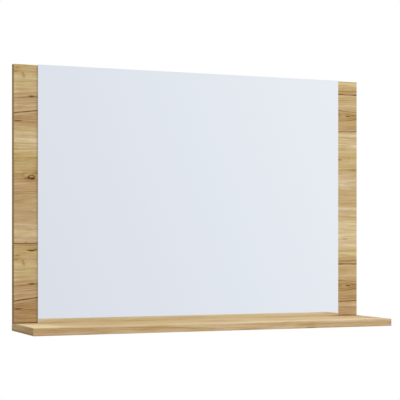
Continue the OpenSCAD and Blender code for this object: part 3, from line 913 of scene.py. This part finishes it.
def threaded_rings(angle, start, end, core, crest, pitch, rows):
    """Rings of a thread. At height z and angle a the radius is the core's plus the ridge's height, which
    is a triangle wave of z over the pitch less a over a full turn, cut sharp by a power, and which fades
    out over one turn at both ends."""
    heights = np.linspace(start, end, rows)[:, None]
    phase = np.mod(heights / pitch - angle[None, :] / (2 * pi), 1)
    wave = (1 - np.abs(2 * phase - 1)) ** 1.6
    fade = np.clip((heights - start) / pitch, 0, 1) * np.clip((end - heights) / pitch, 0, 1)
    radius = core + (crest - core) * wave * fade
    return radius, np.broadcast_to(heights, radius.shape)


def revolved_mesh(name, angle, rings, to_place):
    """Joins rings of (radius, height) round a common axis into a closed mesh with a point at each end.

    A vertex lies at radius times the cosine and sine of its angle, at its height. Rings run so that the
    solid is on the inner side, and quads join ring to ring and fans close the two ends.
    """
    radius = np.concatenate([np.atleast_2d(r) for r, _ in rings])
    height = np.concatenate([np.atleast_2d(h) for _, h in rings])
    rows, columns = radius.shape
    local = np.stack([radius * np.cos(angle), radius * np.sin(angle), height], axis=-1).reshape(-1, 3)
    ends = np.array([[0, 0, height[0].mean()], [0, 0, height[-1].mean()]])
    vertices = to_place(np.concatenate([local, ends]))
    column = np.arange(columns)
    following = np.roll(column, -1)
    row = np.arange(rows - 1)[:, None] * columns
    near, far = row + column, row + following
    quads = np.stack([near, far, far + columns, near + columns], axis=-1).reshape(-1, 4)
    first, last = rows * columns, rows * columns + 1
    start = np.stack([np.full(columns, first), following, column], axis=-1)
    final = (rows - 1) * columns
    end = np.stack([final + column, final + following, np.full(columns, last)], axis=-1)
    mesh = bpy.data.meshes.new(name)
    mesh.from_pydata(vertices.tolist(), [], quads.tolist() + start.tolist() + end.tolist())
    mesh.shade_smooth()
    mesh.set_sharp_from_angle(angle=radians(35))
    piece = bpy.data.objects.new(name, mesh)
    bpy.context.scene.collection.objects.link(piece)
    return piece


def flat_ring(angle, radius, height):
    """One ring, of the same radius all round or of one radius for each angle."""
    return np.broadcast_to(radius, angle.shape), np.full(angle.shape, height)


def shelf_screw(node, columns, pitch):
    """A connecting screw: a flat head with a hexagon socket, a cone, a shoulder and a coarse thread.

    The rings run from the bottom of the socket out over the head, and up the shank to a blunt tip.
    """
    low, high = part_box(node)
    middle_x, middle_y = 0.5 * (low.x + high.x), 0.5 * (low.y + high.y)
    length = high.z - low.z
    head = 0.5 * (high.x - low.x)
    shoulder, core, socket, deep = 0.0035, 0.00265, 0.004, 0.003
    corner, rim, shoulder_end, tip_length = 0.0002, 0.001, 0.012, 0.003
    rows_in_a_turn = 12
    angle = np.linspace(0, 2 * pi, columns, endpoint=False)
    hexagon = hexagon_radius(angle, socket)
    tip = length - tip_length
    thread_rows = int(rows_in_a_turn * tip / pitch)
    rings = [
        flat_ring(angle, 0.5 * hexagon, deep + 2 * corner),
        flat_ring(angle, hexagon, deep),
        flat_ring(angle, hexagon, corner),
        flat_ring(angle, hexagon + corner, 0.0),
        flat_ring(angle, head - corner, 0.0),
        flat_ring(angle, head, corner),
        flat_ring(angle, head, rim),
        flat_ring(angle, shoulder, rim + head - shoulder),
        flat_ring(angle, shoulder, shoulder_end),
        threaded_rings(angle, shoulder_end + 2 * corner, tip, core, shoulder, pitch, thread_rows),
        flat_ring(angle, 0.5 * core, length - 0.1 * tip_length),
        flat_ring(angle, 0.3 * core, length),
    ]
    place = (middle_x, middle_y, low.z)
    return revolved_mesh(node + "_threaded", angle, rings, lambda points: points + place)


def plate_screw(node, columns, pitch):
    """A countersunk screw that points to the front: a flat head with a tapered cross recess, a cone, a
    thread and a sharp point.

    The rings run from the bottom of the recess out over the head, and along the shank to the point, where
    they shrink evenly.
    """
    low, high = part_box(node)
    middle_x, middle_z = 0.5 * (low.x + high.x), 0.5 * (low.z + high.z)
    length = high.y - low.y
    head = 0.5 * (high.x - low.x)
    shank, core, corner = 0.00175, 0.00115, 0.0001
    span, arm, deep, tip_length = 0.0036, 0.0008, 0.0019, 0.004
    thread_rows, tip_rows = 90, 26
    angle = np.linspace(0, 2 * pi, columns, endpoint=False)
    recess = star_radius(angle, span, arm)
    cone_end = head - shank
    tip = length - tip_length
    taper = np.linspace(1, 0.06, tip_rows)
    tip_heights = np.linspace(tip, length - 2 * corner, tip_rows)
    rings = [
        flat_ring(angle, 0.25 * recess, deep),
        flat_ring(angle, 0.62 * recess, deep - 5 * corner),
        flat_ring(angle, recess, corner),
        flat_ring(angle, recess + corner, 0.0),
        flat_ring(angle, head - corner, 0.0),
        flat_ring(angle, head, corner),
        flat_ring(angle, shank, cone_end),
        threaded_rings(angle, cone_end + 8 * corner, tip, core, shank, pitch, thread_rows),
        *(flat_ring(angle, core * share, height) for share, height in zip(taper, tip_heights)),
    ]

    def to_wall(points):
        """Turns a screw that points up so that it points to the front, and puts it in its place."""
        turned = np.stack([points[:, 0], -points[:, 2], points[:, 1]], axis=-1)
        return turned + (middle_x, high.y, middle_z)

    return revolved_mesh(node + "_threaded", angle, rings, to_wall)


# ---- Light, camera and floor ----

# The studio that the mirror shows, at its left end and at its right, and the backdrop behind the object.
STUDIO_LEFT = (0.675, 0.711, 0.872)
STUDIO_RIGHT = (0.985, 1.065, 1.168)
BACKDROP = (1, 1, 1)


def studio_light(world, ambient):
    """White behind the object, even soft light on it, and a pale blue-grey studio for it to reflect.

    The light on the object comes from all round, with a strength that is a straight function of its
    direction: strongest from above, from the front and from the right. What the mirror shows the camera
    brightens slowly from left to right and a little from low to high; on to the wood it passes the
    light from all round.
    """
    tree = Tree(world)
    direction = tree.add("ShaderNodeTexCoord").outputs["Generated"]
    split = tree.add("ShaderNodeSeparateXYZ", None, {0: direction})
    x, y, z = (Signal(tree, socket) for socket in split.outputs)
    light = 0.85 + x * 0.26 - y * 0.20 + z * 0.95
    light = tree.largest(light, 0.08) * ambient
    tinted = tree.mix(x.fade(-1, 1), (0.97, 1.0, 1.05), (1.02, 1.0, 0.97))
    rise = tree.smallest(x * 1.333 + tree.smallest(z, 0.12) * 0.5, 1.0)
    studio = tree.mix(tree.largest(rise, 0.0), STUDIO_LEFT, STUDIO_RIGHT)
    ray = tree.add("ShaderNodeLightPath").outputs
    straight = 1 - tree.smallest(Signal(tree, ray["Diffuse Depth"]), 1)
    mirrored = Signal(tree, ray["Is Glossy Ray"]) * straight
    seen = tree.either(mirrored, tree.background(tinted, light), tree.background(studio))
    whole = tree.either(ray["Is Camera Ray"], seen, tree.background(opaque(BACKDROP)))
    tree.add("ShaderNodeOutputWorld", None, {"Surface": whole})


def studio_camera(scene, stage):
    """A level camera that is turned to the right, with its picture moved up by the lens's shift."""
    camera = bpy.data.objects.new("Camera", bpy.data.cameras.new("Camera"))
    camera.data.sensor_width = 36
    camera.data.lens = stage.lens
    camera.data.shift_y = stage.shift
    camera.location = stage.camera_place
    camera.rotation_euler = (pi / 2, 0, -stage.camera_turn)
    scene.collection.objects.link(camera)
    scene.camera = camera


def studio_softbox(scene, power):
    """A large soft light above, in front and to the right, aimed at a point 0.3 m below the hangers.
    Neither the mirror nor the camera sees it."""
    softbox = bpy.data.lights.new("Softbox", "AREA")
    softbox.shape = "RECTANGLE"
    softbox.size, softbox.size_y = 2.4, 1.8
    softbox.energy = power
    lamp = bpy.data.objects.new("Softbox", softbox)
    lamp.location = (1.3, -2.3, 1.9)
    from_target = lamp.location.copy()
    from_target.z += 0.3
    lamp.rotation_euler = from_target.to_track_quat("Z", "Y").to_euler()
    lamp.visible_glossy = False
    lamp.visible_camera = False
    scene.collection.objects.link(lamp)


def floor_material():
    """Pale paint with a faint cloud."""
    material, tree = new_material("Studio floor", (0.86, 0.86, 0.86))
    x, y = tree.point()[:2]
    cloud = tree.noise(x / 300, y / 300, 3.0)
    tree.surface(
        Base_Color=tree.ramp(cloud, [(0.3, (0.84, 0.84, 0.84)), (0.7, (0.88, 0.88, 0.88))]),
        Roughness=0.9, Specular_IOR_Level=0.1)
    return material


def floor_disc(radius, height):
    """A round floor: two rings of the same radius, one a thickness below the other, and a fan on each."""
    middle, thickness, columns = (0, -0.4, 0), 0.01, 128
    angle = np.linspace(0, 2 * pi, columns, endpoint=False)
    rings = [flat_ring(angle, radius, height - thickness), flat_ring(angle, radius, height)]
    return revolved_mesh("studio_floor", angle, rings, lambda points: points + middle)


# ---- Operators ----


def settings_of(context):
    return context.scene.mirror_shelf


def stand_for(node, piece, material):
    """Gives a new screw its finish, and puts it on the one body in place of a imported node."""
    piece.data.materials.append(material)
    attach(piece, "root")
    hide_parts(node)


class MIRROR_SHELF_OT_dress_boards(bpy.types.Operator):
    """Prints the oak on the back board and the shelf"""

    bl_idname = "mirror_shelf.dress_boards"
    bl_label = "Dress the boards"

    def execute(self, context):
        oak = settings_of(context).oak
        dress(back_board_material(oak), "back_board")
        dress(shelf_board_material(oak), "shelf_board")
        return {"FINISHED"}


class MIRROR_SHELF_OT_dress_edging(bpy.types.Operator):
    """Prints the oak on the edging of both boards"""

    bl_idname = "mirror_shelf.dress_edging"
    bl_label = "Dress the edging"

    def execute(self, context):
        oak = settings_of(context).oak
        dress(back_edging_material(oak), *nodes_named("back_edging_"))
        dress(shelf_front_material(oak), "shelf_edging_front")
        dress(shelf_end_material(oak), "shelf_edging_left", "shelf_edging_right")
        return {"FINISHED"}


class MIRROR_SHELF_OT_dress_glass(bpy.types.Operator):
    """Silvers the glass and finishes its paint and its mounting tape"""

    bl_idname = "mirror_shelf.dress_glass"
    bl_label = "Dress the glass"

    def execute(self, context):
        settings = settings_of(context)
        dress(mirror_material(settings.glass), "mirror_glass")
        dress(back_paint_material(settings.glass), "mirror_coat")
        dress(foam_material(settings.fittings.foam), *nodes_named("mirror_tape_"))
        return {"FINISHED"}


class MIRROR_SHELF_OT_make_shelf_screws(bpy.types.Operator):
    """Makes the threaded screws that join the shelf to the back board"""

    bl_idname = "mirror_shelf.make_shelf_screws"
    bl_label = "Make the shelf screws"

    def execute(self, context):
        fittings = settings_of(context).fittings
        zinc = zinc_material(fittings.zinc, "Zinc on shelf screws", (1, 1, 0.6))
        for node in nodes_named("shelf_screw_"):
            stand_for(node, shelf_screw(node, fittings.columns, fittings.shelf_screw_pitch), zinc)
        return {"FINISHED"}


class MIRROR_SHELF_OT_dress_caps_and_dowels(bpy.types.Operator):
    """Finishes the plastic caps and the beech dowels"""

    bl_idname = "mirror_shelf.dress_caps_and_dowels"
    bl_label = "Dress the caps and dowels"

    def execute(self, context):
        dress(cap_material(settings_of(context).fittings.cap), *nodes_named("screw_cap_"))
        dress(beech_material(), *nodes_named("shelf_dowel_"))
        return {"FINISHED"}


class MIRROR_SHELF_OT_make_hangers(bpy.types.Operator):
    """Plates the keyhole hangers and makes the threaded screws that hold them"""

    bl_idname = "mirror_shelf.make_hangers"
    bl_label = "Make the hangers"

    def execute(self, context):
        fittings = settings_of(context).fittings
        dress(zinc_material(fittings.zinc, "Zinc on hangers"), *nodes_named("keyhole_plate_"))
        zinc = zinc_material(fittings.zinc, "Zinc on plate screws", (2, 2, 2))
        for node in nodes_named("plate_screw_"):
            stand_for(node, plate_screw(node, fittings.columns, fittings.plate_screw_pitch), zinc)
        return {"FINISHED"}


class MIRROR_SHELF_OT_set_stage(bpy.types.Operator):
    """Sets the camera, the floor and the soft studio light"""

    bl_idname = "mirror_shelf.set_stage"
    bl_label = "Set the stage"

    def execute(self, context):
        stage = settings_of(context).stage
        scene = context.scene
        studio_camera(scene, stage)
        scene.world = bpy.data.worlds.new("Studio")
        studio_light(scene.world, stage.ambient)
        studio_softbox(scene, stage.softbox)
        floor = floor_disc(stage.floor_radius, CAD_BOX[0][2] - stage.floor_drop)
        floor.data.materials.append(floor_material())
        scene.view_settings.view_transform = "Standard"
        return {"FINISHED"}


# ---- Panel, registration and run ----


class VIEW3D_PT_mirror_shelf(bpy.types.Panel):
    """Lists the steps in the order in which they run"""

    bl_label = "Mirror with shelf"
    bl_idname = "VIEW3D_PT_mirror_shelf"
    bl_space_type = "VIEW_3D"
    bl_region_type = "UI"
    bl_category = "Mirror"

    def draw(self, context):
        settings = settings_of(context)
        for step in STEPS:
            self.layout.operator(step.bl_idname)
        for name in ("oak", "glass", "fittings", "stage"):
            box = self.layout.box()
            box.label(text=name.title())
            group = getattr(settings, name)
            for prop in group.bl_rna.properties:
                if prop.identifier not in ("rna_type", "name"):
                    box.prop(group, prop.identifier)


STEPS = (
    MIRROR_SHELF_OT_dress_boards,
    MIRROR_SHELF_OT_dress_edging,
    MIRROR_SHELF_OT_dress_glass,
    MIRROR_SHELF_OT_make_shelf_screws,
    MIRROR_SHELF_OT_dress_caps_and_dowels,
    MIRROR_SHELF_OT_make_hangers,
    MIRROR_SHELF_OT_set_stage,
)
CLASSES = (
    OakSettings, GlassSettings, FittingSettings, StageSettings, MirrorShelfSettings,
    *STEPS, VIEW3D_PT_mirror_shelf,
)


def register():
    for each in CLASSES:
        bpy.utils.register_class(each)
    bpy.types.Scene.mirror_shelf = PointerProperty(type=MirrorShelfSettings)


def unregister():
    del bpy.types.Scene.mirror_shelf
    for each in reversed(CLASSES):
        bpy.utils.unregister_class(each)


def main():
    register()
    bpy.ops.mirror_shelf.dress_boards()
    bpy.ops.mirror_shelf.dress_edging()
    bpy.ops.mirror_shelf.dress_glass()
    bpy.ops.mirror_shelf.make_shelf_screws()
    bpy.ops.mirror_shelf.dress_caps_and_dowels()
    bpy.ops.mirror_shelf.make_hangers()
    bpy.ops.mirror_shelf.set_stage()


if __name__ == "__main__":
    main()
